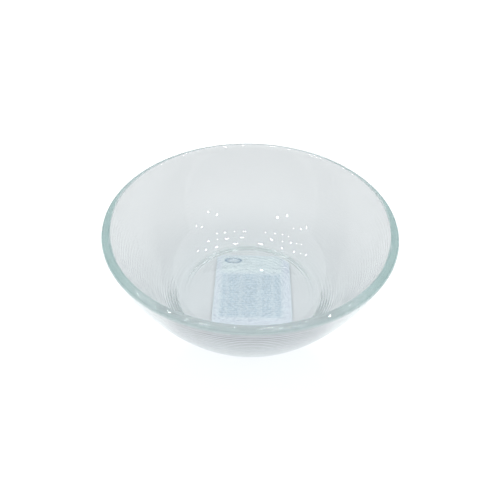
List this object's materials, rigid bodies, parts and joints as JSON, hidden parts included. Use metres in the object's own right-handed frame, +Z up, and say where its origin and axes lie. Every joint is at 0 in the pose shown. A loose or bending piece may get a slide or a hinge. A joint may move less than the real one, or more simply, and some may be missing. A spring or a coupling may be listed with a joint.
{
  "type": "glass bowl",
  "caption": "Deep flared round bowl of clear pressed glass with a rounded lip, fine outside rings and a paper label under the base.",
  "frame": {"origin": "centre of the foot ring, on the plane that the bowl stands on", "axes": "+Z up along the bowl's axis of revolution; +X to the right and +Y to the back as seen from the front, with the label's long side along Y"},
  "size_m": [0.15, 0.15, 0.06],
  "materials": {
    "clear_glass": "polished, faint sea-green tint in the thick edges",
    "adhesive": "thin pressed film of clear adhesive",
    "label_paper": "pale blue printed label paper, satin",
    "mark_ink": "grey-blue printing ink",
    "text_ink": "blue-green printing ink"
  },
  "bodies": {
    "root": {"glass_bowl": "clear_glass", "label_adhesive": "adhesive", "label_sheet": "label_paper", "label_mark_print": "mark_ink", "label_text_print": "text_ink"}
  },
  "joints": []
}
